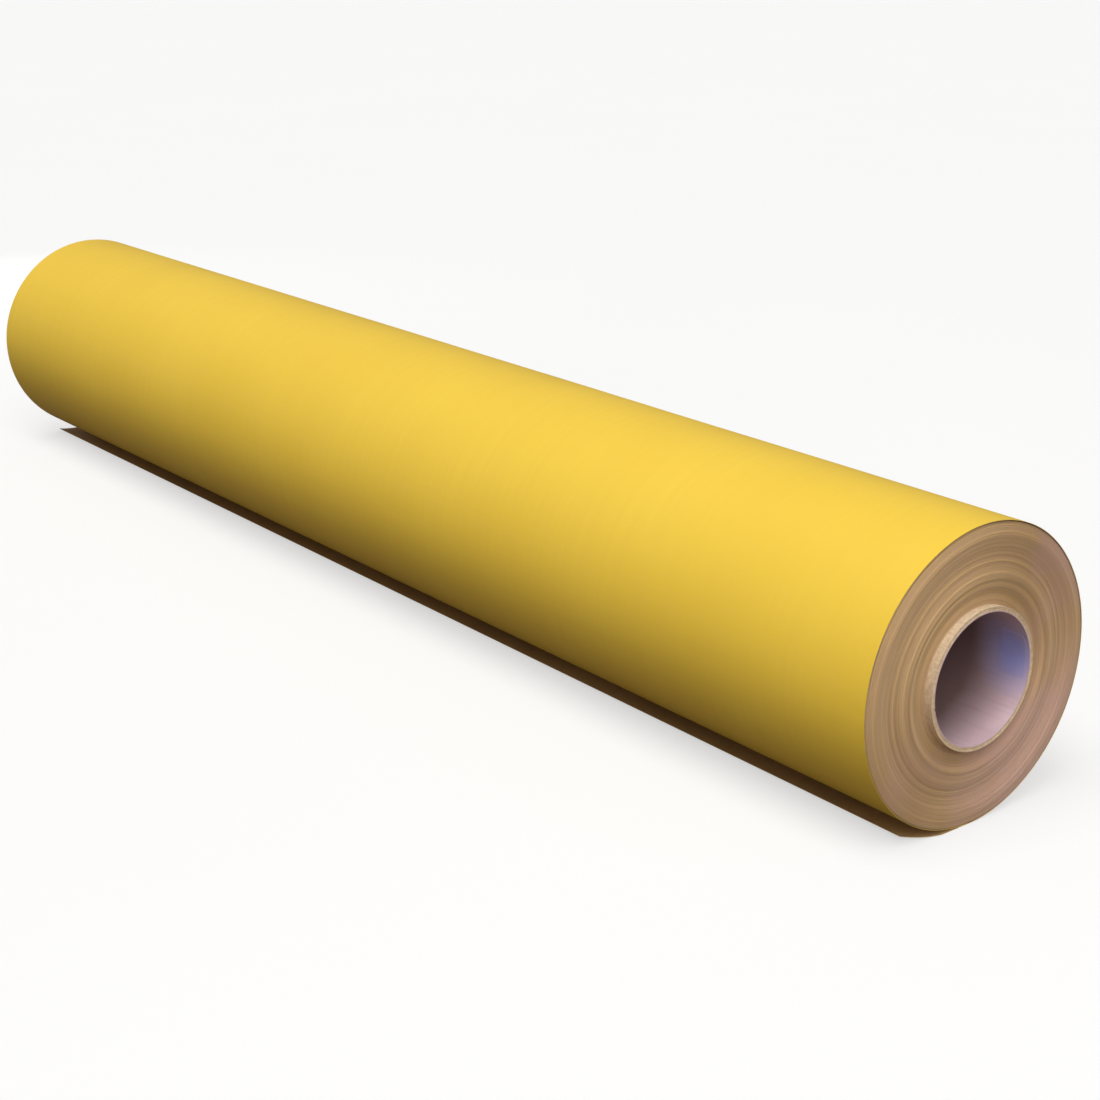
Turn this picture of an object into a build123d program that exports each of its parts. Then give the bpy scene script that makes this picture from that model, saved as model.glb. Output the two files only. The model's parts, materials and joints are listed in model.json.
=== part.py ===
from build123d import *

import math
import os

# Roll of self-adhesive sign vinyl, in millimetres.
# The core axis is X, Z is up, and the origin is on the axis at mid-length.
# The roll lies on the floor, and the end of its web lies in front of it, at -Y.

# The web, as it is wound: film outside, then adhesive, then release liner.
WEB_WIDTH = 1070.0
FILM = 0.12
ADHESIVE = 0.04
LINER = 0.18
WEB = FILM + ADHESIVE + LINER

# The roll.
ROLL_R = 87.5
TURN_GAP = 0.3  # running gap between the last turn and the turns inside it

# The paperboard core, three inches in the bore.
BORE_R = 38.1
LINING = 0.35
PLY = 0.7
PLY_COUNT = 3
WRAP = 0.4
CORE_STAND_OUT = 3.8  # how far the core passes the web's edge at each end
CORE_LENGTH = WEB_WIDTH + 2 * CORE_STAND_OUT
CORE_R = BORE_R + LINING + PLY_COUNT * PLY + WRAP

# The tabs of double-sided tape that start the web on the core.
TAB_LENGTH = 60.0
TAB_WIDTH = 25.0
TAB = 0.12
TAB_AT = 60.0  # degrees round the core from +Y
TAB_SPACING = 480.0
TAB_PLACES = {"left": -TAB_SPACING, "middle": 0.0, "right": TAB_SPACING}

# The blank label stuck just inside the core's mouth.
LABEL_LENGTH = 18.0
LABEL_WIDTH = 27.0
LABEL = 0.1
LABEL_FROM_END = 2.5
LABEL_AT = 5.0  # degrees round the bore from +Y

# The wound turns stand in bands that slid a little along the core.
# Each is (outer radius, slide towards +X).
TURNS_R = ROLL_R - 2 * WEB - TURN_GAP
BANDS = [(50.5, -1.2), (61.5, 0.9), (72.0, -0.9), (81.5, 0.6), (TURNS_R, -0.3)]

# The free end, measured forward from where the web leaves the roll.
LEAD = 12.0
SPAN_END = 18.0
PEEL_FROM = 26.0  # the liner is stuck down as far as here, and loose beyond it
CREASE = 0.1  # slit in the liner where its loose strip folds up
TAIL_REACH = 46.0
CURL_R = 106.0  # the free end curls up off the floor, because it was wound
CURL_STATIONS = [18.0, 22.0, 26.0, 30.0, 34.0, 38.0, 42.0, 46.0]  # where its short flats meet
FLOOR = -ROLL_R


def tube(outer, inner, length, centre_x=0.0):
    """A round tube along X."""
    ring = Plane.YZ * (Circle(outer) - Circle(inner))
    return Pos(centre_x - length / 2, 0, 0) * extrude(ring, length)


def tube_patch(inner, thickness, width, length, at, centre_x):
    """A strip of a tube's wall, width wide around it, centred at an angle from +Y."""
    half = math.degrees(width / inner) / 2
    outer = inner + thickness
    ring = Plane.YZ * Circle(outer) - Plane.YZ * Circle(inner)
    sides = [math.radians(at + turn) for turn in (half, -half)]
    corners = [(2 * outer * math.cos(side), 2 * outer * math.sin(side)) for side in sides]
    wedge = Plane.YZ * make_face(Polyline((0, 0), *corners, close=True))
    return Pos(centre_x - length / 2, 0, 0) * extrude(ring & wedge, length)


def core_pieces():
    """Lining, board plies and wrap, from the bore outwards."""
    label_x = CORE_LENGTH / 2 - LABEL_FROM_END - LABEL_LENGTH / 2
    label = tube_patch(BORE_R, LABEL, LABEL_WIDTH, LABEL_LENGTH, LABEL_AT, label_x)
    pieces = {
        "core_label": label,
        "core_lining": tube(BORE_R + LINING, BORE_R, CORE_LENGTH) - label,
    }
    for number in range(PLY_COUNT):
        inner = BORE_R + LINING + number * PLY
        pieces[f"core_ply_{number + 1}"] = tube(inner + PLY, inner, CORE_LENGTH)
    pieces["core_wrap"] = tube(CORE_R, CORE_R - WRAP, CORE_LENGTH)
    return pieces


def start_tabs():
    """The tape tabs under the first turn."""
    return {
        f"start_tab_{place}": tube_patch(CORE_R, TAB, TAB_WIDTH, TAB_LENGTH, TAB_AT, x)
        for place, x in TAB_PLACES.items()
    }


def wound_turns():
    """All the turns but the last, on the core, with their bands slid as they lie."""
    turns = None
    inner = CORE_R
    for outer, slide in BANDS:
        band = tube(outer, inner, WEB_WIDTH, slide)
        turns = band if turns is None else turns + band
        inner = outer
    for tab in start_tabs().values():
        turns -= tab
    return turns


def last_turn_layer(depth, thickness):
    """One layer of the last turn and of the lead that leaves it along the floor.

    The turn is two half circles, and the second is centred half a web higher.
    So it starts one web's thickness inside of where it ends, as a spiral does.
    """
    back, front, low = ROLL_R - depth, ROLL_R - WEB / 2 - depth, FLOOR + depth
    back_in, front_in, low_in = back - thickness, front - thickness, low + thickness
    outline = [
        Line((-LEAD, low), (0, low)),
        ThreePointArc((0, low), (back, 0), (0, back)),
        ThreePointArc((0, back), (-front, WEB / 2), (0, low + WEB)),
        Line((0, low + WEB), (0, low_in + WEB)),
        ThreePointArc((0, low_in + WEB), (-front_in, WEB / 2), (0, back_in)),
        ThreePointArc((0, back_in), (back_in, 0), (0, low_in)),
        Line((0, low_in), (-LEAD, low_in)),
        Line((-LEAD, low_in), (-LEAD, low)),
    ]
    section = Plane.YZ * make_face(Wire(outline).edges())
    return Pos(-WEB_WIDTH / 2, 0, 0) * extrude(section, WEB_WIDTH)


def flat_layer(start, end, depth, thickness):
    """One layer of the web lying flat on the floor, between two distances forward."""
    middle = (0, -(start + end) / 2, FLOOR + depth + thickness / 2)
    return Pos(*middle) * Box(WEB_WIDTH, end - start, thickness)


def curl_point(reach, radius):
    """Where a layer is, a distance forward: on the flat between the two stations beside it."""
    near = max(station for station in CURL_STATIONS[:-1] if station <= reach)
    far = min(station for station in CURL_STATIONS if station > near)
    share = (reach - near) / (far - near)
    corners = [math.asin((station - SPAN_END) / CURL_R) for station in (near, far)]
    forward = [radius * math.sin(turn) for turn in corners]
    drop = [radius * math.cos(turn) for turn in corners]
    along = forward[0] + share * (forward[1] - forward[0])
    down = drop[0] + share * (drop[1] - drop[0])
    return (-SPAN_END - along, FLOOR + CURL_R - down)


def curled_layer(start, end, depth, thickness):
    """One layer of the free end as it curls up, in short flats, between two distances forward."""
    reaches = [start, *(station for station in CURL_STATIONS if start < station < end), end]
    under = [curl_point(reach, CURL_R - depth) for reach in reaches]
    over = [curl_point(reach, CURL_R - depth - thickness) for reach in reaches]
    section = Plane.YZ * make_face(Polyline(*under, *over[::-1], close=True))
    return Pos(-WEB_WIDTH / 2, 0, 0) * extrude(section, WEB_WIDTH)


def web_pieces():
    """The last turn, the span that is paid out, and the free end, layer by layer."""
    layers = {
        "film": (0, FILM),
        "adhesive": (FILM, ADHESIVE),
        "liner": (FILM + ADHESIVE, LINER),
    }
    pieces = {}
    for layer, (depth, thickness) in layers.items():
        pieces[f"last_turn_{layer}"] = last_turn_layer(depth, thickness)
        pieces[f"paid_out_{layer}"] = flat_layer(LEAD, SPAN_END, depth, thickness)
    for layer in ("film", "adhesive"):
        pieces[f"tail_{layer}"] = curled_layer(SPAN_END, TAIL_REACH, *layers[layer])
    pieces["tail_liner_stuck"] = curled_layer(SPAN_END, PEEL_FROM - CREASE, *layers["liner"])
    pieces["tail_liner_loose"] = curled_layer(PEEL_FROM, TAIL_REACH, *layers["liner"])
    return pieces


def write(pieces):
    os.makedirs("parts", exist_ok=True)
    for name, shape in pieces.items():
        shape.label = name
        export_step(shape, f"parts/{name}.step")


write(
    {
        **core_pieces(),
        **start_tabs(),
        "wound_turns": wound_turns(),
        **web_pieces(),
    }
)
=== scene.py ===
import json
import math
from contextlib import contextmanager

import bmesh
import bpy
import numpy as np
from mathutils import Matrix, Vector


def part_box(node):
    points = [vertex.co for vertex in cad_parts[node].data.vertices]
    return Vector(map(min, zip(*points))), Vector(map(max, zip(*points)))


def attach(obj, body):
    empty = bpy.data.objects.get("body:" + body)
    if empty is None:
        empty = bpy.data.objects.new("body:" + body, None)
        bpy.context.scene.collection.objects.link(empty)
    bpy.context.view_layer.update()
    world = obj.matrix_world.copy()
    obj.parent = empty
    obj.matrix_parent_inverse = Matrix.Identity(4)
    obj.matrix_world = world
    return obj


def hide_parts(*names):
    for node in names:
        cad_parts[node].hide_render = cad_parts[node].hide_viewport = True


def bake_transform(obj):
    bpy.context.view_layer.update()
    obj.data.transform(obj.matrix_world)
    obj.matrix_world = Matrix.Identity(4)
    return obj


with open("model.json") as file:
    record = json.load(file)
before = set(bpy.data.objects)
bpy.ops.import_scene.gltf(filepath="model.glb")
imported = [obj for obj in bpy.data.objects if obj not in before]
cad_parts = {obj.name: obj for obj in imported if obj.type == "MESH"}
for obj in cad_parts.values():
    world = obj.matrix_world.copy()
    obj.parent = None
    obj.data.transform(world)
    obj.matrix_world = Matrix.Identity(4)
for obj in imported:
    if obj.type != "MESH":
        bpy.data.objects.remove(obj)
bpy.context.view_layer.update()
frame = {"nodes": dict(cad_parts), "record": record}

# ---------------------------------------------------------------- sizes, from the frame
MM = 0.001


def outer_radius(node):
    """A round node has a vertex straight out along +Y, so its box there is its radius."""
    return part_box(node)[1].y


def thickness(node):
    low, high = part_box(node)
    return high.z - low.z


ROLL_R = outer_radius("last_turn_film")
FLOOR_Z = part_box("last_turn_film")[0].z
WEB_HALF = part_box("last_turn_film")[1].x
CORE_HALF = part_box("core_wrap")[1].x
TURNS_R = outer_radius("wound_turns")
CORE_R = outer_radius("core_wrap")
FILM, ADHESIVE = thickness("paid_out_film"), thickness("paid_out_adhesive")
LINER = thickness("paid_out_liner")
WEB = FILM + ADHESIVE + LINER
SPAN_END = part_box("paid_out_film")[0].y
PEEL_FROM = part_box("tail_liner_loose")[1].y
TAIL_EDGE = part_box("tail_film")[0].y
TAIL_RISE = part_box("tail_film")[1].z - FLOOR_Z - FILM
PLY_COUNT = sum(name.startswith("core_ply_") for name in frame["nodes"])

# Each layer's depth in from the film's outer face, and its thickness; and its material slot.
LAYERS = {"film": (0.0, FILM), "adhesive": (FILM, ADHESIVE), "liner": (FILM + ADHESIVE, LINER)}
SLOTS = {"film": "yellow_film", "adhesive": "adhesive", "liner": "liner_paper"}

# The visible span starts a little nearer the roll than its CAD node does.
SPAN_SHOWN_FROM = -7 * MM

# Each surface's random shapes have a seed of their own.
SEED_SWELL, SEED_SLIT, SEED_RIPPLE, SEED_TURNS, SEED_CORE = 11, 5, 23, 40, 7

# ---------------------------------------------------------------- mesh helpers

# Two faces that meet at more than this have a sharp edge between them.
SHARP_ANGLE = math.radians(35)


def smooth_step(low, high, value):
    """0 below low, 1 above high, and an even slope between."""
    t = np.clip((value - low) / (high - low), 0, 1)
    return t * t * (3 - 2 * t)


def waves(rng, count, low, high):
    """Random sine waves with count frequencies from low to high: a smooth noise of one variable."""
    frequency = rng.uniform(low, high, count)
    phase = rng.uniform(0, 2 * math.pi, count)
    return lambda t: np.sin(np.multiply.outer(t, frequency) + phase).sum(-1) / math.sqrt(count)


def grid_quads(rows, columns, start=0, flip=False, close_rows=False):
    """Quads over a grid of vertices numbered row by row from start."""
    last = rows if close_rows else rows - 1
    i, j = np.meshgrid(np.arange(last), np.arange(columns - 1), indexing="ij")
    below = start + i * columns + j
    above = start + ((i + 1) % rows) * columns + j
    quads = np.stack([below, above, above + 1, below + 1], -1).reshape(-1, 4)
    return quads[:, ::-1] if flip else quads


def make_piece(name, vertices, faces, material):
    """A mesh object in the frame's coordinates, smooth but for its sharp edges."""
    mesh = bpy.data.meshes.new(name)
    mesh.from_pydata(np.asarray(vertices).tolist(), [], [list(face) for face in faces])
    mesh.validate()
    mesh.polygons.foreach_set("use_smooth", np.ones(len(mesh.polygons), bool))
    mesh.set_sharp_from_angle(angle=SHARP_ANGLE)
    mesh.materials.append(material)
    piece = bpy.data.objects.new(name, mesh)
    bpy.context.scene.collection.objects.link(piece)
    return piece


@contextmanager
def editing(piece):
    """The piece's mesh as a bmesh, written back when the block ends."""
    shape = bmesh.new()
    shape.from_mesh(piece.data)
    yield shape
    shape.to_mesh(piece.data)
    shape.free()


def face_outward(piece):
    """Turn every face's normal outward."""
    with editing(piece) as shape:
        bmesh.ops.recalc_face_normals(shape, faces=shape.faces)
    return piece


def thick_sheet(name, upper, lower, material):
    """A closed sheet between two surfaces, each an array of rows by columns of points."""
    rows, columns = upper.shape[:2]
    count = rows * columns
    vertices = np.concatenate([upper.reshape(-1, 3), lower.reshape(-1, 3)])
    faces = [grid_quads(rows, columns), grid_quads(rows, columns, count, flip=True)]
    first, final = np.arange(columns), (rows - 1) * columns + np.arange(columns)
    left, right = np.arange(rows) * columns, np.arange(rows) * columns + columns - 1
    for rim in (first, final, left, right):
        faces.append(np.stack([rim[:-1], rim[1:], rim[1:] + count, rim[:-1] + count], -1))
    return face_outward(make_piece(name, vertices, np.concatenate(faces), material))


# ---------------------------------------------------------------- materials


class Nodes:
    """A short way to write a node tree."""

    def __init__(self, name):
        self.material = bpy.data.materials.new(name)
        self.material.use_nodes = True
        self.tree = self.material.node_tree
        self.shader = self.tree.nodes["Principled BSDF"]
        self.place = self.add("ShaderNodeTexCoord").outputs["Object"]

    def add(self, kind, inputs=None, **settings):
        node = self.tree.nodes.new(kind)
        for key, value in settings.items():
            setattr(node, key, value)
        for key, value in (inputs or {}).items():
            if isinstance(value, bpy.types.NodeSocket):
                self.tree.links.new(value, node.inputs[key])
            else:
                node.inputs[key].default_value = value
        return node

    def math(self, operation, first, second=0.0):
        inputs = {0: first, 1: second}
        return self.add("ShaderNodeMath", inputs, operation=operation).outputs[0]

    def vector_math(self, operation, first, second=(0.0, 0.0, 0.0), output="Vector"):
        inputs = {0: first, 1: second}
        node = self.add("ShaderNodeVectorMath", inputs, operation=operation)
        return node.outputs[output]

    def stretch(self, scale):
        """The object's coordinates, each multiplied by a scale."""
        return self.vector_math("MULTIPLY", self.place, scale)

    def noise(self, vector, scale, detail=3.0, roughness=0.5):
        inputs = {"Vector": vector, "Scale": scale, "Detail": detail, "Roughness": roughness}
        return self.add("ShaderNodeTexNoise", inputs).outputs["Fac"]

    def noise_1d(self, value, scale, detail=2.0, roughness=0.5):
        inputs = {"W": value, "Scale": scale, "Detail": detail, "Roughness": roughness}
        return self.add("ShaderNodeTexNoise", inputs, noise_dimensions="1D").outputs["Fac"]

    def ramp(self, value, low, high, to_low=0.0, to_high=1.0):
        """Map low to high onto to_low to to_high, and hold those two beyond."""
        inputs = {
            "Value": value,
            "From Min": low,
            "From Max": high,
            "To Min": to_low,
            "To Max": to_high,
        }
        return self.add("ShaderNodeMapRange", inputs).outputs["Result"]

    def mix(self, share, first, second):
        """A colour: the first where share is 0, and the second where it is 1."""
        node = self.add("ShaderNodeMix", data_type="RGBA", blend_type="MIX")
        for key, value in (("Factor", share), ("A", first), ("B", second)):
            sockets = [s for s in node.inputs if s.name == key and s.enabled]
            if isinstance(value, bpy.types.NodeSocket):
                self.tree.links.new(value, sockets[0])
            elif key == "Factor":
                sockets[0].default_value = value
            else:
                sockets[0].default_value = (*value, 1.0)
        return next(s for s in node.outputs if s.enabled)

    def radius(self):
        """Distance from the core's axis, in metres."""
        return self.vector_math("LENGTH", self.stretch((0, 1, 1)), output="Value")

    def bump(self, height, distance, under=None, strength=1.0):
        inputs = {"Height": height, "Distance": distance, "Strength": strength}
        if under is not None:
            inputs["Normal"] = under
        return self.add("ShaderNodeBump", inputs).outputs["Normal"]

    def finish(self, color, roughness, normal=None, **constants):
        """Connect the shader: the constants are its other inputs, with _ for a space."""
        for key, value in (("Base Color", color), ("Roughness", roughness), ("Normal", normal)):
            if isinstance(value, bpy.types.NodeSocket):
                self.tree.links.new(value, self.shader.inputs[key])
            elif key == "Base Color":
                self.shader.inputs[key].default_value = (*value, 1.0)
            elif value is not None:
                self.shader.inputs[key].default_value = value
        for key, value in constants.items():
            self.shader.inputs[key.replace("_", " ")].default_value = value
        return self.material


# Colours, in linear RGB.
FILM_DEEP, FILM_PALE = (0.905, 0.605, 0.056), (0.94, 0.64, 0.064)
FILM_STREAK, FILM_DUST = (0.905, 0.600, 0.066), (0.85, 0.72, 0.42)
ADHESIVE_DEEP, ADHESIVE_PALE = (0.72, 0.62, 0.38), (0.84, 0.76, 0.52)
LINER_DARK, LINER_PALE = (0.42, 0.28, 0.13), (0.58, 0.40, 0.20)
LINER_FLECK = (0.27, 0.17, 0.08)
EDGES_BROWN, EDGES_TAN = (0.56, 0.365, 0.20), (0.755, 0.515, 0.285)
EDGES_LINE, EDGES_FILM = (0.44, 0.275, 0.14), (0.80, 0.58, 0.17)
EDGES_ROSY = (0.66, 0.43, 0.35)
BOARD_DARK, BOARD_PALE = (0.64, 0.47, 0.30), (0.86, 0.68, 0.47)
BOARD_SPECK = (0.34, 0.25, 0.17)
LINING_DEEP, LINING_PALE = (0.68, 0.485, 0.53), (0.80, 0.59, 0.63)
# The second colour on the next line is painted shade: the dark colour the lining takes deep inside
# the bore.
LINING_DRAG, LINING_PAINTED_SHADE = (0.56, 0.39, 0.47), (0.19, 0.115, 0.105)
LABEL_BLUE, LABEL_RUB = (0.38, 0.39, 0.80), (0.62, 0.56, 0.82)
TAPE_DARK, TAPE_PALE = (0.66, 0.62, 0.50), (0.82, 0.79, 0.68)

# The slit edges are rosier this way: away from the free end, and towards the floor.
ROSY_TOWARDS = (0.0, 1.6, -0.9)
# Painted shade inside the bore: the lining is at its palest up to the first distance in from a
# mouth, and painted darkest from the second, where the bore is in shade.
PAINTED_SHADE_DEPTHS = (11 * MM, 46 * MM)
# The lining is bluish up to the first distance from the label's centre, fading out at the second.
LABEL_GLOW = (7 * MM, 27 * MM)
LINING_BLUENESS = 0.72
LABEL_BLUENESS = 0.95


def yellow_film():
    """Satin vinyl: even colour, faint streaks round the roll, fine grain, a little dust."""
    n = Nodes("yellow_film")
    cloud = n.noise(n.place, 9.0, 3.0)
    streak = n.noise(n.stretch((1.0, 0.04, 0.04)), 210.0, 2.0)
    grain = n.noise(n.place, 2600.0, 2.0)
    dust = n.ramp(n.noise(n.place, 900.0, 1.0), 0.74, 0.80)
    base = n.mix(n.ramp(cloud, 0.3, 0.7), FILM_DEEP, FILM_PALE)
    base = n.mix(n.ramp(streak, 0.35, 0.65, 0.0, 0.35), base, FILM_STREAK)
    base = n.mix(n.math("MULTIPLY", dust, 0.25), base, FILM_DUST)
    rough = n.ramp(streak, 0.3, 0.7, 0.40, 0.47)
    rough = n.math("ADD", rough, n.ramp(cloud, 0.3, 0.7, 0.0, 0.05))
    normal = n.bump(streak, 0.04 * MM)
    normal = n.bump(grain, 0.02 * MM, normal, 0.6)
    return n.finish(base, rough, normal, IOR=1.46)


def adhesive():
    """Clear tacky layer, seen only at its edge."""
    n = Nodes("adhesive")
    cloud = n.noise(n.place, 140.0, 3.0)
    base = n.mix(cloud, ADHESIVE_DEEP, ADHESIVE_PALE)
    rough = n.ramp(cloud, 0.3, 0.7, 0.16, 0.30)
    return n.finish(base, rough, n.bump(cloud, 0.03 * MM), IOR=1.48)


def liner_paper():
    """Brown paper: long pale and dark fibres, flecks and a soft tooth."""
    n = Nodes("liner_paper")
    cloud = n.noise(n.place, 28.0, 4.0)
    along = n.noise(n.stretch((0.16, 1.0, 1.0)), 1500.0, 3.0, 0.6)
    across = n.noise(n.stretch((1.0, 0.22, 0.22)), 1100.0, 3.0, 0.6)
    fibre = n.math("MULTIPLY", n.math("ADD", along, across), 0.5)
    specks = n.ramp(n.noise(n.place, 620.0, 2.0), 0.66, 0.74)
    pale = n.math("ADD", fibre, n.math("MULTIPLY", cloud, 0.5))
    base = n.mix(n.ramp(pale, 0.55, 0.95), LINER_DARK, LINER_PALE)
    base = n.mix(n.math("MULTIPLY", specks, 0.55), base, LINER_FLECK)
    rough = n.ramp(fibre, 0.3, 0.7, 0.58, 0.74)
    return n.finish(base, rough, n.bump(fibre, 0.05 * MM), IOR=1.45)


def wound_edges():
    """Slit edges of many turns: tan and brown lines, with a thin yellow one here and there."""
    n = Nodes("wound_edges")
    radius = n.radius()
    cloud = n.noise(n.place, 30.0, 4.0)
    wander = n.math("ADD", radius, n.math("MULTIPLY", cloud, 0.0006))
    band = n.noise_1d(wander, 260.0, 3.0, 0.6)
    line = n.noise_1d(wander, 2900.0, 2.0, 0.7)
    fibre = n.noise(n.place, 1700.0, 3.0, 0.6)
    base = n.mix(n.ramp(band, 0.35, 0.65), EDGES_BROWN, EDGES_TAN)
    base = n.mix(n.ramp(line, 0.38, 0.68, 0.0, 0.5), base, EDGES_LINE)
    film = n.ramp(n.noise_1d(wander, 1500.0, 1.0), 0.60, 0.70, 0.0, 0.5)
    base = n.mix(film, base, EDGES_FILM)
    lean = n.vector_math("DOT_PRODUCT", n.place, ROSY_TOWARDS, "Value")
    rosy = n.math("ADD", n.noise(n.place, 14.0, 2.0), lean)
    base = n.mix(n.ramp(rosy, 0.42, 0.64, 0.0, 0.85), base, EDGES_ROSY)
    normal = n.bump(line, 0.10 * MM)
    normal = n.bump(fibre, 0.04 * MM, normal)
    return n.finish(base, n.ramp(fibre, 0.3, 0.7, 0.68, 0.88), normal, IOR=1.4)


def cut_board():
    """Paperboard, with the long grey-brown fibres of its pulp."""
    n = Nodes("core_board")
    pulp = n.noise(n.place, 420.0, 5.0, 0.65)
    fibre = n.noise(n.stretch((0.2, 1.0, 1.0)), 1900.0, 3.0, 0.6)
    base = n.mix(n.ramp(pulp, 0.32, 0.68), BOARD_DARK, BOARD_PALE)
    specks = n.ramp(n.noise(n.place, 1100.0, 1.0), 0.68, 0.75, 0.0, 0.5)
    base = n.mix(specks, base, BOARD_SPECK)
    normal = n.bump(n.math("ADD", pulp, fibre), 0.06 * MM)
    return n.finish(base, n.ramp(pulp, 0.3, 0.7, 0.72, 0.9), normal, IOR=1.4)


def lining_color(n, drag, blue):
    """Lilac grey with drag marks, bluish round the label, with painted shade that darkens it away
    from the core's mouths.
    """
    cloud = n.noise(n.place, 60.0, 4.0)
    base = n.mix(n.ramp(cloud, 0.3, 0.7), LINING_DEEP, LINING_PALE)
    base = n.mix(n.ramp(drag, 0.5, 0.72, 0.0, 0.35), base, LINING_DRAG)
    along = n.add("ShaderNodeSeparateXYZ", {0: n.place}).outputs["X"]
    inside = n.math("SUBTRACT", CORE_HALF, n.math("ABSOLUTE", along))
    inside = n.math("ADD", inside, n.math("MULTIPLY", cloud, 12 * MM))
    # Painted shade: the lining turns dark further in from each mouth, standing in for the shade
    # deep in the bore.
    base = n.mix(n.ramp(inside, *PAINTED_SHADE_DEPTHS, 0.0, 0.93), base, LINING_PAINTED_SHADE)
    low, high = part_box("core_label")
    away = n.vector_math("DISTANCE", n.place, (Vector(low) + Vector(high)) / 2, "Value")
    return n.mix(n.ramp(away, *LABEL_GLOW, blue, 0.0), base, LABEL_BLUE)


def lining_paper():
    """Smooth lining paper."""
    n = Nodes("lining_paper")
    drag = n.noise(n.stretch((0.05, 1.0, 1.0)), 500.0, 2.0)
    base = lining_color(n, drag, LINING_BLUENESS)
    fibre = n.noise(n.place, 1500.0, 2.0)
    normal = n.bump(fibre, 0.03 * MM)
    return n.finish(base, n.ramp(drag, 0.3, 0.7, 0.42, 0.58), normal, IOR=1.46)


def label_paper():
    """Thin bluish label, blank and a little rubbed, nearer the lining's colour at its edges."""
    n = Nodes("label_paper")
    cloud = n.noise(n.place, 130.0, 4.0)
    rub = n.noise(n.stretch((0.4, 1.0, 1.0)), 700.0, 3.0)
    base = lining_color(n, rub, LABEL_BLUENESS)
    base = n.mix(n.ramp(rub, 0.58, 0.70, 0.0, 0.2), base, LABEL_RUB)
    rough = n.ramp(cloud, 0.3, 0.7, 0.35, 0.5)
    return n.finish(base, rough, n.bump(cloud, 0.03 * MM), IOR=1.48)


def tissue_tape():
    """Double-sided tissue tape under the first turn."""
    n = Nodes("tape")
    tissue = n.noise(n.place, 900.0, 4.0, 0.65)
    base = n.mix(tissue, TAPE_DARK, TAPE_PALE)
    rough = n.ramp(tissue, 0.3, 0.7, 0.3, 0.5)
    return n.finish(base, rough, n.bump(tissue, 0.04 * MM), IOR=1.46)


MATERIALS = {
    "yellow_film": yellow_film(),
    "adhesive": adhesive(),
    "liner_paper": liner_paper(),
    "wound_edges": wound_edges(),
    "core_board": cut_board(),
    "lining_paper": lining_paper(),
    "label_paper": label_paper(),
    "tape": tissue_tape(),
}


def paint_cad_nodes():
    """Every CAD node gets its slot's material, so any that stays in view is finished too."""
    for part in frame["record"]["subparts"]:
        mesh = frame["nodes"][part["node"]].data
        mesh.materials.clear()
        mesh.materials.append(MATERIALS[part["material_slot"]])


# ---------------------------------------------------------------- the last turn

HALF_TURN_STEPS = 110
LEAD_STEPS = 5
ROWS = 120
# About how far the layers' slit edges stand back from the web's full width.
SLIT_BACK = 0.12 * MM


def row_places(half):
    """Places along the roll, closer together near both of its ends."""
    t = np.linspace(-1, 1, ROWS)
    return half * (0.62 * t + 0.38 * np.sin(t * math.pi / 2))


def turn_path(depth):
    """The web's section at a depth in from its outer face: a flat lead, then one turn.

    The turn is two half circles. The second is centred half a web higher, so that the turn
    closes one web inside itself.
    """
    flat = np.linspace(SPAN_SHOWN_FROM, 0, LEAD_STEPS + 1)[:-1]
    lead = np.stack([flat, np.full(len(flat), FLOOR_Z + depth)], -1)
    angle = np.linspace(0, math.pi, HALF_TURN_STEPS + 1)
    back_r, front_r = ROLL_R - depth, ROLL_R - WEB / 2 - depth
    back = np.stack([back_r * np.sin(angle), -back_r * np.cos(angle)], -1)
    front = np.stack([-front_r * np.sin(angle), front_r * np.cos(angle) + WEB / 2], -1)
    return np.concatenate([lead, back, front[1:]])


def turn_swell():
    """How far the last turn stands in or out, by place along the roll and angle round it.

    Film that is a little thicker in lanes winds up into low hoops, and loose tension leaves soft
    diagonal puckers. Both die out at the bottom, where the turn carries the roll.
    """
    rng = np.random.default_rng(SEED_SWELL)
    hoops, fine, puckers = waves(rng, 7, 6, 30), waves(rng, 9, 60, 170), waves(rng, 6, 9, 34)

    def swell(x, angle):
        hoop = 0.055 * hoops(x) + 0.016 * fine(x)
        slant = 0.035 * puckers(x + 0.05 * np.cos(angle) + 0.02 * angle)
        off_floor = smooth_step(0.15, 0.9, 1 + np.sin(angle))
        return (hoop + slant) * MM * off_floor

    return swell


def turn_surface(depth, swell, edge):
    """The last turn's surface at a depth, as rows along the roll by steps round it.

    swell is from turn_swell, and edge says how far the slit edge stands out, by angle.
    """
    path = turn_path(depth)
    x = row_places(WEB_HALF)
    angle = np.arctan2(path[:, 1], path[:, 0])
    places, angles = np.meshgrid(x, angle, indexing="ij")
    lift = swell(places, angles)
    under = path[:, 0] < 0
    lift[:, under] *= smooth_step(0, 0.5, 1 + np.sin(angle[under]))
    radius = np.hypot(path[:, 0], path[:, 1])
    scale = 1 + lift / radius
    near_end = smooth_step(0.985 * WEB_HALF, WEB_HALF, np.abs(places))
    places = places + np.sign(places) * near_end * edge(angles)
    return np.stack([places, path[:, 0] * scale, path[:, 1] * scale], -1)


def slit_edge(wander, number):
    """How far the edge of a layer stands out, by angle: each less than the one outside it."""
    return lambda angle: -SLIT_BACK * (1 + 0.4 * number + 0.6 * wander(angle))


def last_turn():
    """Film, adhesive and liner of the last turn, with the flat lead that leaves it."""
    swell = turn_swell()
    wander = waves(np.random.default_rng(SEED_SLIT), 5, 1, 9)
    for number, (layer, (depth, thick)) in enumerate(LAYERS.items()):
        edge = slit_edge(wander, number)
        outer = turn_surface(depth, swell, edge)
        inner = turn_surface(depth + thick, swell, edge)
        slot = SLOTS[layer]
        piece = thick_sheet(f"last_turn_{layer}_web", outer, inner, MATERIALS[slot])
        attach(piece, "last_turn")
        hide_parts(f"last_turn_{layer}")


# ---------------------------------------------------------------- the web on the floor

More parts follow.
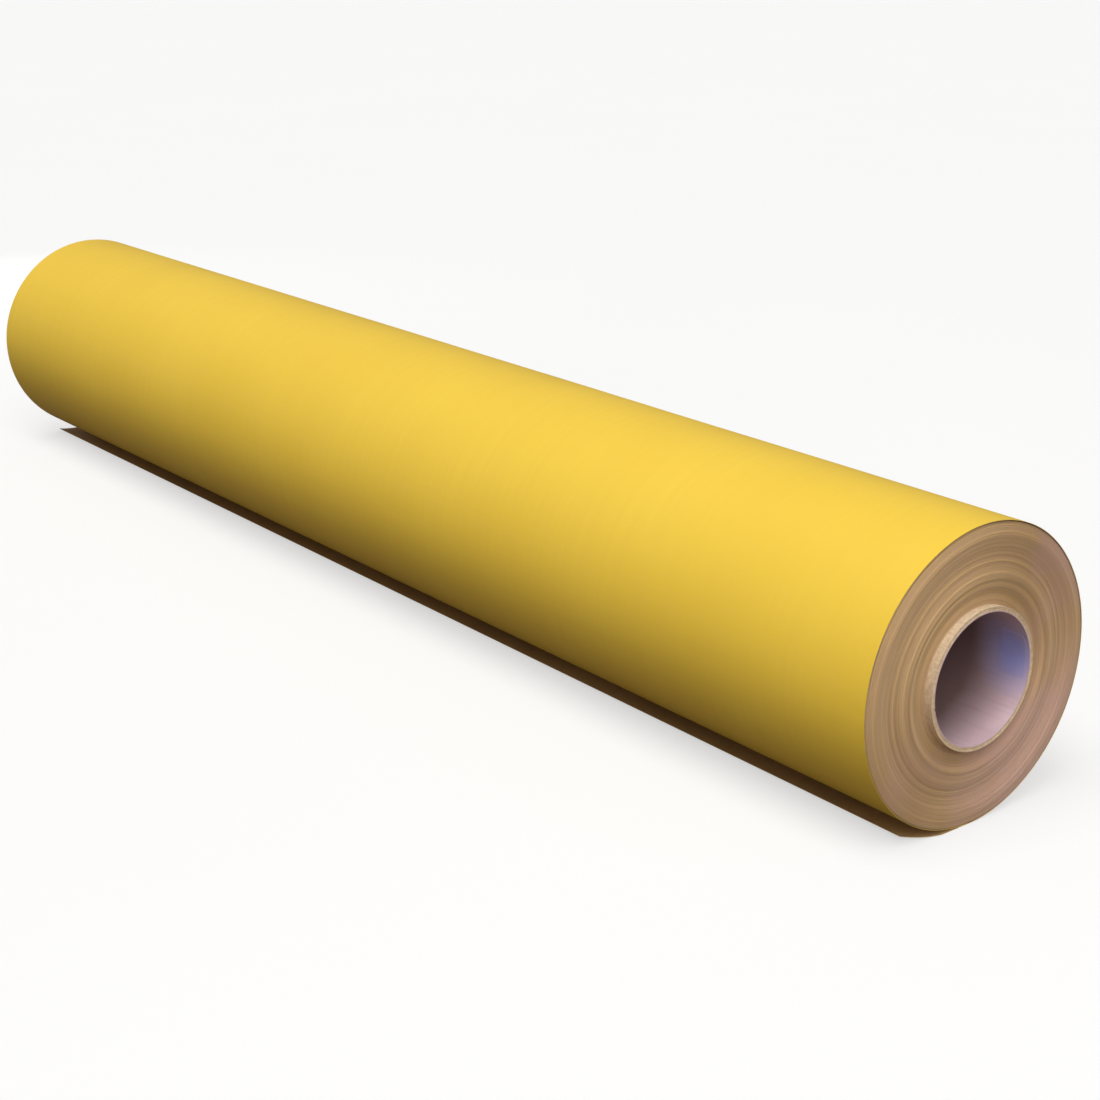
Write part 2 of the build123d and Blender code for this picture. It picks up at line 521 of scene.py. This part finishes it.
# The free end narrows towards its edge, where its corners were trimmed.
CORNER_FROM = TAIL_EDGE + 26 * MM
CORNER_CUT = 7.5 * MM
ADHESIVE_INSET = 0.25 * MM
PEEL_GAP = 0.12 * MM
RIPPLE = 0.22 * MM
SPAN_STEPS, TAIL_STEPS, STUCK_STEPS, LOOSE_STEPS = 25, 29, 9, 21


def free_lift(x, y):
    """How high the web stands off the floor: its set from the roll curls the free edge up."""
    ripple = waves(np.random.default_rng(SEED_RIPPLE), 5, 3, 14)(x)
    out = np.clip((SPAN_END - y) / (SPAN_END - TAIL_EDGE), 0, 1)
    return (TAIL_RISE + RIPPLE * ripple) * out**2


def floor_surface(start, end, depth, columns, gap=0.0):
    """A surface of the flat web at a height above its lower face, from start to end in Y.

    gap is how far the loose liner stands off the film at the free edge.
    """
    x = row_places(1.0)
    y = np.linspace(start, end, columns)
    places, forward = np.meshgrid(x, y, indexing="ij")
    beyond = np.clip((CORNER_FROM - forward) / (CORNER_FROM - TAIL_EDGE), 0, 1)
    places = places * (WEB_HALF - CORNER_CUT * beyond**1.3)
    height = FLOOR_Z + depth + free_lift(places, forward)
    height = height + gap * np.clip((PEEL_FROM - forward) / (PEEL_FROM - TAIL_EDGE), 0, 1) ** 2
    return np.stack([places, forward, height], -1)


def floor_layer(name, layer, start, end, columns, gap=0.0, inset=0.0):
    """One layer of the flat web as a closed sheet."""
    depth, thick = LAYERS[layer]
    slot = SLOTS[layer]
    upper = floor_surface(start, end + inset, depth + thick, columns, gap)
    lower = floor_surface(start, end + inset, depth, columns, gap)
    piece = thick_sheet(name, upper, lower, MATERIALS[slot])
    return piece


def paid_out_span():
    """The stretch from the last turn to the free end, which lengthens as the roll turns."""
    for layer in LAYERS:
        name = f"paid_out_{layer}_web"
        piece = floor_layer(name, layer, SPAN_SHOWN_FROM, SPAN_END, SPAN_STEPS)
        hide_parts(f"paid_out_{layer}")
        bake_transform(piece)


def free_end():
    """The free end curves up off the floor, and its liner peels in a curve off the film."""
    tail = {}
    for layer, inset in (("film", 0.0), ("adhesive", ADHESIVE_INSET)):
        name = f"tail_{layer}_web"
        tail[layer] = floor_layer(name, layer, SPAN_END, TAIL_EDGE, TAIL_STEPS, inset=inset)
        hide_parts(f"tail_{layer}")
    stuck = floor_layer("tail_liner_stuck_web", "liner", SPAN_END, PEEL_FROM, STUCK_STEPS)
    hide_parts("tail_liner_stuck")
    for piece in (tail["film"], tail["adhesive"], stuck):
        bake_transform(piece)
    name = "tail_liner_loose_web"
    loose = floor_layer(name, "liner", PEEL_FROM, TAIL_EDGE, LOOSE_STEPS, gap=PEEL_GAP)
    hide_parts("tail_liner_loose")
    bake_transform(loose)


# ---------------------------------------------------------------- the wound turns

TURNS = round((TURNS_R - CORE_R) / WEB)
TURN_STEPS = 160
GROOVE = 0.22 * MM
# One turn's edge in section: share of the way across the turn, and how far out it stands.
EDGE_SECTION = ((0.08, 0.0), (0.72, 0.0), (0.90, -GROOVE))
# How far in from the faces the rings lie that join both ends, inside and outside the turns.
RING_DEPTH = 0.4 * MM
CORE_CLEARANCE = 0.01 * MM
# Where the turns slid out and in along the core: share of the way out, and slide in millimetres.
SLIDES = [
    (0.0, -1.1),
    (0.11, -1.4),
    (0.30, 1.0),
    (0.34, 1.0),
    (0.60, -0.9),
    (0.85, 0.9),
    (1.0, -0.3),
]


def slide_at(share):
    """The bands' slide at a share of the way out, as smooth ridges and troughs."""
    slide = np.zeros_like(share)
    for (low, first), (high, second) in zip(SLIDES, SLIDES[1:]):
        inside = (share >= low) & (share <= high)
        step = smooth_step(low, high, share[inside])
        slide[inside] = first + (second - first) * step
    return slide * MM


def end_face(sign, pitch, rng):
    """Vertices of one end's spiral of turn edges: at each step a lip, a crest and a groove."""
    step = np.arange(TURNS * TURN_STEPS)
    turn = step / TURN_STEPS
    angle = -2 * math.pi * turn - math.pi / 2
    share = turn / TURNS
    uneven = waves(rng, 24, 0.6, 6.5)
    wavy = waves(rng, 5, 0.3, 0.9)
    ragged = 0.060 * uneven(turn) + 0.10 * wavy(turn) * np.cos(angle + 0.7)
    dish = 0.25 * np.cos(angle - 0.6 + 1.4 * share)
    face = sign * WEB_HALF + slide_at(share) + (ragged + dish) * MM
    radius = CORE_R + turn * pitch
    return np.stack(
        [
            np.stack(
                [
                    face + sign * drop,
                    (radius + across * pitch) * np.cos(angle),
                    (radius + across * pitch) * np.sin(angle),
                ],
                -1,
            )
            for across, drop in EDGE_SECTION
        ],
        1,
    )


def ring(radius, x):
    """Points round the axis, one under each step of the spiral."""
    angle = -2 * math.pi * np.arange(TURN_STEPS) / TURN_STEPS - math.pi / 2
    x = np.broadcast_to(x, angle.shape)
    return np.stack([x, radius * np.cos(angle), radius * np.sin(angle)], -1)


def end_faces(face_start, rings_start):
    """Faces of one end: the spiral's own, and those that join it to its two rings."""
    step = np.arange(TURNS * TURN_STEPS - 1)
    lip, crest, groove = (face_start + 3 * step + k for k in range(3))
    quads = [
        np.stack([lip, crest, crest + 3, lip + 3], -1),
        np.stack([crest, groove, groove + 3, crest + 3], -1),
    ]
    inward = step[: (TURNS - 1) * TURN_STEPS - 1]
    groove, lip = face_start + 3 * inward + 2, face_start + 3 * (inward + TURN_STEPS)
    quads.append(np.stack([groove, lip, lip + 3, groove + 3], -1))
    around = np.arange(TURN_STEPS)
    beside = (around + 1) % TURN_STEPS
    first_lip = face_start + 3 * np.arange(TURN_STEPS + 1)
    last = (TURNS - 1) * TURN_STEPS
    last_groove = face_start + 3 * (last - 1 + np.arange(TURN_STEPS + 1)) + 2
    inner, outer = rings_start, rings_start + TURN_STEPS
    quads.append(np.stack([inner + around, first_lip[:-1], first_lip[1:], inner + beside], -1))
    quads.append(
        np.stack(
            [
                last_groove[:-1],
                outer + (around - 1) % TURN_STEPS,
                outer + around,
                last_groove[1:],
            ],
            -1,
        )
    )
    return np.concatenate(quads)


def close_steps(piece):
    """Close the small steps where the spiral starts and where it ends."""
    with editing(piece) as shape:
        open_edges = [edge for edge in shape.edges if edge.is_boundary]
        bmesh.ops.holes_fill(shape, edges=open_edges, sides=0)


def wound_turns():
    """All the turns inside the last one, each of their edges modelled at both ends."""
    pitch = (TURNS_R - CORE_R) / (TURNS + 0.2)
    blocks, faces, total, rims = [], [], 0, []
    for sign in (1, -1):
        rng = np.random.default_rng(SEED_TURNS + sign)
        spiral = end_face(sign, pitch, rng).reshape(-1, 3)
        inner_x = spiral[: 3 * TURN_STEPS : 3, 0] - sign * RING_DEPTH
        outer_x = spiral[-3 * TURN_STEPS :: 3, 0] - sign * RING_DEPTH
        blocks += [spiral, ring(CORE_R + CORE_CLEARANCE, inner_x), ring(TURNS_R, outer_x)]
        rings_start = total + len(spiral)
        faces.append(end_faces(total, rings_start))
        rims.append(rings_start)
        total = rings_start + 2 * TURN_STEPS
    around = np.arange(TURN_STEPS)
    beside = (around + 1) % TURN_STEPS
    for shift in (0, TURN_STEPS):
        near, far = rims[0] + shift, rims[1] + shift
        faces.append(np.stack([near + around, near + beside, far + beside, far + around], -1))
    vertices, quads = np.concatenate(blocks), np.concatenate(faces)
    piece = make_piece("wound_turns_edges", vertices, quads, MATERIALS["wound_edges"])
    close_steps(piece)
    face_outward(piece)
    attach(piece, "roll")
    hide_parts("wound_turns")


# ---------------------------------------------------------------- the core

TUBE_STEPS = 180
TUBE_ROUNDING = 0.16 * MM
TUBE_INSET = 0.15 * MM
PLY_STEPS = 126  # steps in one turn of a strip
PLY_ADVANCE = 165 * MM  # how far a strip moves along the core in one turn
SEAM_GAP = 0.7 * MM
PLY_BEVEL = 1.2 * MM  # width of the strip's rolled-over edge
PLY_ROLL = 0.10 * MM
PLY_INSET = 0.02 * MM
LABEL_STEPS = 41
LABEL_ROUNDING = 3 * MM
LABEL_FACE, LABEL_BACK = 0.16, 0.02  # how far they stand in from the bore, in millimetres


def inner_radii():
    """Each tube's inner radius: the outer radius of the one inside it."""
    names = ["core_lining", *(f"core_ply_{k + 1}" for k in range(PLY_COUNT)), "core_wrap"]
    return {name: outer_radius(inside) for inside, name in zip(names, names[1:])}


def bore_radius():
    bore = next(mount for mount in frame["record"]["mounts"] if mount["name"] == "core_bore")
    return bore["dims"]["r_mm"] * MM


INNER_RADIUS = inner_radii()
BORE_R = bore_radius()


def ply_tube(node, rng):
    """One board ply, its cut ends a little ragged and rounded, closed all round."""
    outer = outer_radius(node)
    inner = INNER_RADIUS[node]
    number = int(node.rsplit("_", 1)[1])
    angle = np.linspace(0, 2 * math.pi, TUBE_STEPS, endpoint=False)
    ragged = waves(rng, 8, 2, 26)
    uneven = rng.uniform(-0.14, 0.10, 2)
    soft = TUBE_ROUNDING
    loops = []
    for side, sign in enumerate((-1, 1)):
        out = (uneven[side] + 0.05 * ragged(angle + number)) * MM
        reach = CORE_HALF + out - TUBE_INSET
        section = ((inner, -soft), (inner + soft, 0.0), (outer - soft, 0.0), (outer, -soft))
        order = section if sign < 0 else section[::-1]
        for radius, back in order:
            x = sign * (reach + back)
            loops.append(np.stack([x, radius * np.cos(angle), radius * np.sin(angle)], -1))
    loops = np.stack(loops)
    count = len(loops)
    faces = grid_quads(count, TUBE_STEPS, close_rows=True)
    i = np.arange(count) * TUBE_STEPS
    j = np.roll(i, -1)
    wrap = np.stack([i + TUBE_STEPS - 1, j + TUBE_STEPS - 1, j, i], -1)
    vertices, quads = loops.reshape(-1, 3), np.concatenate([faces, wrap])
    piece = make_piece(f"{node}_tube", vertices, quads, MATERIALS["core_board"])
    face_outward(piece)
    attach(piece, "roll")
    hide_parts(node)


def spiral_ply(name, node, inner, outer, slot, hand):
    """A ply as it is wound: a strip in a helix, with a narrow seam, its ends cut off square."""
    turns = 2 * CORE_HALF / PLY_ADVANCE + 2
    turn = np.linspace(-1, turns - 1, int(turns * PLY_STEPS))
    angle = 2 * math.pi * hand * turn
    edge = PLY_BEVEL / PLY_ADVANCE
    across = np.array([0, 0.4 * edge, edge, 0.2, 0.4, 0.6, 0.8, 1 - edge, 1 - 0.4 * edge, 1.0])
    roll_over = PLY_ROLL * np.clip(1 - np.minimum(across, 1 - across) / edge, 0, 1) ** 2
    x = np.add.outer(turn * PLY_ADVANCE, across * (PLY_ADVANCE - SEAM_GAP)) - CORE_HALF

    def surface(radius):
        y = radius[None, :] * np.cos(angle)[:, None]
        z = radius[None, :] * np.sin(angle)[:, None]
        return np.stack([x, y, z], -1)

    upper, lower = surface(outer - roll_over), surface(inner + roll_over)
    piece = thick_sheet(name, upper, lower, MATERIALS[slot])
    with editing(piece) as shape:
        for sign in (-1, 1):
            cut = bmesh.ops.bisect_plane(
                shape,
                geom=shape.verts[:] + shape.edges[:] + shape.faces[:],
                plane_co=(sign * (CORE_HALF - PLY_INSET), 0, 0),
                plane_no=(sign, 0, 0),
                clear_outer=True,
            )
            rim = [item for item in cut["geom_cut"] if isinstance(item, bmesh.types.BMEdge)]
            bmesh.ops.edgenet_fill(shape, edges=rim)
        bmesh.ops.recalc_face_normals(shape, faces=shape.faces)
    piece.data.set_sharp_from_angle(angle=SHARP_ANGLE)
    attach(piece, "roll")
    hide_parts(node)


def bore_label():
    """A blank sticker with round corners, just inside the core's mouth."""
    low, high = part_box("core_label")
    corners = np.array([v.co for v in frame["nodes"]["core_label"].data.vertices])
    angles = np.arctan2(corners[:, 2], corners[:, 1])
    middle, half = (angles.min() + angles.max()) / 2, (angles.max() - angles.min()) / 2
    x = np.linspace(low.x, high.x, LABEL_STEPS)
    from_corner = np.clip(LABEL_ROUNDING - np.minimum(x - low.x, high.x - x), 0, None)
    inset = LABEL_ROUNDING - np.sqrt(np.clip(LABEL_ROUNDING**2 - from_corner**2, 0, None))
    share = np.linspace(-1, 1, LABEL_STEPS)
    angle = middle + share[None, :] * (half - inset / BORE_R)[:, None]
    rim = smooth_step(0.90, 1.0, np.maximum.outer(np.abs(share), np.abs(share)))
    places = np.repeat(x[:, None], LABEL_STEPS, 1)

    def surface(depth):
        """The label's face at a depth in millimetres in from the bore, thinner at its rim."""
        radius = BORE_R - depth * (1 - 0.35 * rim) * MM
        return np.stack([places, radius * np.cos(angle), radius * np.sin(angle)], -1)

    face, back = surface(LABEL_FACE), surface(LABEL_BACK)
    piece = thick_sheet("core_label_sticker", face, back, MATERIALS["label_paper"])
    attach(piece, "roll")
    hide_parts("core_label")


def core():
    """The lining, the board plies and the wrap, wound the other way to the lining."""
    rng = np.random.default_rng(SEED_CORE)
    lining_r, wrap_from = outer_radius("core_lining"), INNER_RADIUS["core_wrap"]
    spiral_ply("core_lining_ply", "core_lining", BORE_R, lining_r, "lining_paper", 1)
    for number in range(PLY_COUNT):
        ply_tube(f"core_ply_{number + 1}", rng)
    spiral_ply("core_wrap_ply", "core_wrap", wrap_from, CORE_R, "core_board", -1)
    bore_label()


# ---------------------------------------------------------------- floor, light and camera

FLOOR_HALF = 12.0
FLOOR_GAP = 0.05 * MM
FLOOR_BOUNCE = (0.16, 0.13, 0.10)
FLOOR_PALE, FLOOR_PALEST = (0.90, 0.90, 0.895), (0.93, 0.93, 0.925)
FLOOR_GLOW = 0.6


def floor():
    """A wide pale floor that glows a little, as a light table does, so its shadows stay faint.

    It glows and is pale only as the camera sees it. Light that bounces finds it dull, as in a
    dark studio.
    """
    n = Nodes("floor")
    seen = n.add("ShaderNodeLightPath").outputs["Is Camera Ray"]
    mottle = n.noise(n.place, 3.0, 2.0)
    pale = n.mix(mottle, FLOOR_PALE, FLOOR_PALEST)
    n.finish(n.mix(seen, FLOOR_BOUNCE, pale), 0.9, Specular_IOR_Level=0.0)
    glow = n.add("ShaderNodeEmission", {"Color": (1, 1, 1, 1), "Strength": 1.0})
    share = n.math("MULTIPLY", seen, FLOOR_GLOW)
    both = n.add("ShaderNodeMixShader", {0: share, 1: n.shader.outputs[0], 2: glow.outputs[0]})
    n.tree.links.new(both.outputs[0], n.tree.nodes["Material Output"].inputs["Surface"])
    corners = [(FLOOR_HALF * x, FLOOR_HALF * y, 0) for x, y in ((-1, -1), (1, -1), (1, 1), (-1, 1))]
    piece = make_piece("floor", corners, [(0, 1, 2, 3)], n.material)
    piece.location.z = FLOOR_Z - FLOOR_GAP


WHITE, WARM_WHITE = (1.0, 1.0, 1.0), (1.0, 0.99, 0.97)
SUN_DEGREES = 38  # how wide a sun light looks, which softens its shadows
BACKDROP_COLOR = (0.97, 0.98, 1.0)
# How bright the surroundings are, as a light and as the camera sees them.
BACKDROP_LIGHT = 0.2
BACKDROP_SEEN = 0.95


def add_light(name, kind, direction, power, color):
    """A light that shines from a direction."""
    data = bpy.data.lights.new(name, kind)
    data.energy = power
    data.color = color
    light = bpy.data.objects.new(name, data)
    bpy.context.scene.collection.objects.link(light)
    light.rotation_mode = "QUATERNION"
    light.rotation_quaternion = Vector(direction).normalized().to_track_quat("Z", "Y")
    return light


def sun(name, direction, power, color):
    """A large, even studio light, far off."""
    light = add_light(name, "SUN", direction, power, color)
    light.data.angle = math.radians(SUN_DEGREES)


def softbox(name, aim, direction, distance, size, power, color):
    """A round soft light that shines on aim from near by, out of the camera's sight."""
    light = add_light(name, "AREA", direction, power, color)
    light.data.shape = "DISK"
    light.data.size = size
    light.location = Vector(aim) + Vector(direction).normalized() * distance
    light.visible_camera = False


def lights():
    """Suns from above and in front, a softbox on the near end, and a small one on the far end."""
    near_end, far_end = (WEB_HALF, 0, 0), (-WEB_HALF, 0, 0)
    sun("key", (0.02, -0.34, 0.94), 1.5, WARM_WHITE)
    sun("end_light", (0.5, -0.3, 0.81), 1.05, WARM_WHITE)
    softbox("low_light", near_end, (0.80, -0.45, 0.42), 2.0, 1.3, 11, WARM_WHITE)
    sun("front_light", (0.3, -0.8, 0.5), 0.1, WHITE)
    # It is narrower than the roll and on its axis, so it lights the far end but not the film.
    softbox("far_end_light", far_end, (-1.0, 0.0, 0.0), 0.9, 0.16, 2.2, WHITE)


def backdrop():
    """A pale studio all round, which lights the roll only a little."""
    world = bpy.data.worlds.new("studio")
    world.use_nodes = True
    tree = world.node_tree
    background = tree.nodes["Background"]
    background.inputs["Color"].default_value = (*BACKDROP_COLOR, 1.0)
    seen = tree.nodes.new("ShaderNodeLightPath").outputs["Is Camera Ray"]
    strength = tree.nodes.new("ShaderNodeMapRange")
    strength.inputs["To Min"].default_value = BACKDROP_LIGHT
    strength.inputs["To Max"].default_value = BACKDROP_SEEN
    tree.links.new(seen, strength.inputs["Value"])
    tree.links.new(strength.outputs["Result"], background.inputs["Strength"])
    bpy.context.scene.world = world


# The camera stands off the near end's centre, in roll radii, and looks 18.8 degrees down.
CAMERA_OFF = Vector((7.356, -9.049, 4.696))
CAMERA_LOOKS = Vector((-0.7474, 0.5811, -0.3223))
SENSOR_MM = 36.0
LENS_MM = 65.35
CLIP_FROM, CLIP_TO = 0.05, 60.0


def camera():
    data = bpy.data.cameras.new("camera")
    data.sensor_width = SENSOR_MM
    data.lens = LENS_MM
    data.clip_start, data.clip_end = CLIP_FROM, CLIP_TO
    view = bpy.data.objects.new("camera", data)
    bpy.context.scene.collection.objects.link(view)
    near_end = Vector((WEB_HALF, 0, 0))
    view.location = near_end + CAMERA_OFF * ROLL_R
    view.rotation_mode = "QUATERNION"
    view.rotation_quaternion = CAMERA_LOOKS.to_track_quat("-Z", "Y")
    bpy.context.scene.camera = view


paint_cad_nodes()
wound_turns()
last_turn()
paid_out_span()
free_end()
core()
floor()
lights()
backdrop()
camera()
bpy.context.scene.view_settings.view_transform = "Standard"
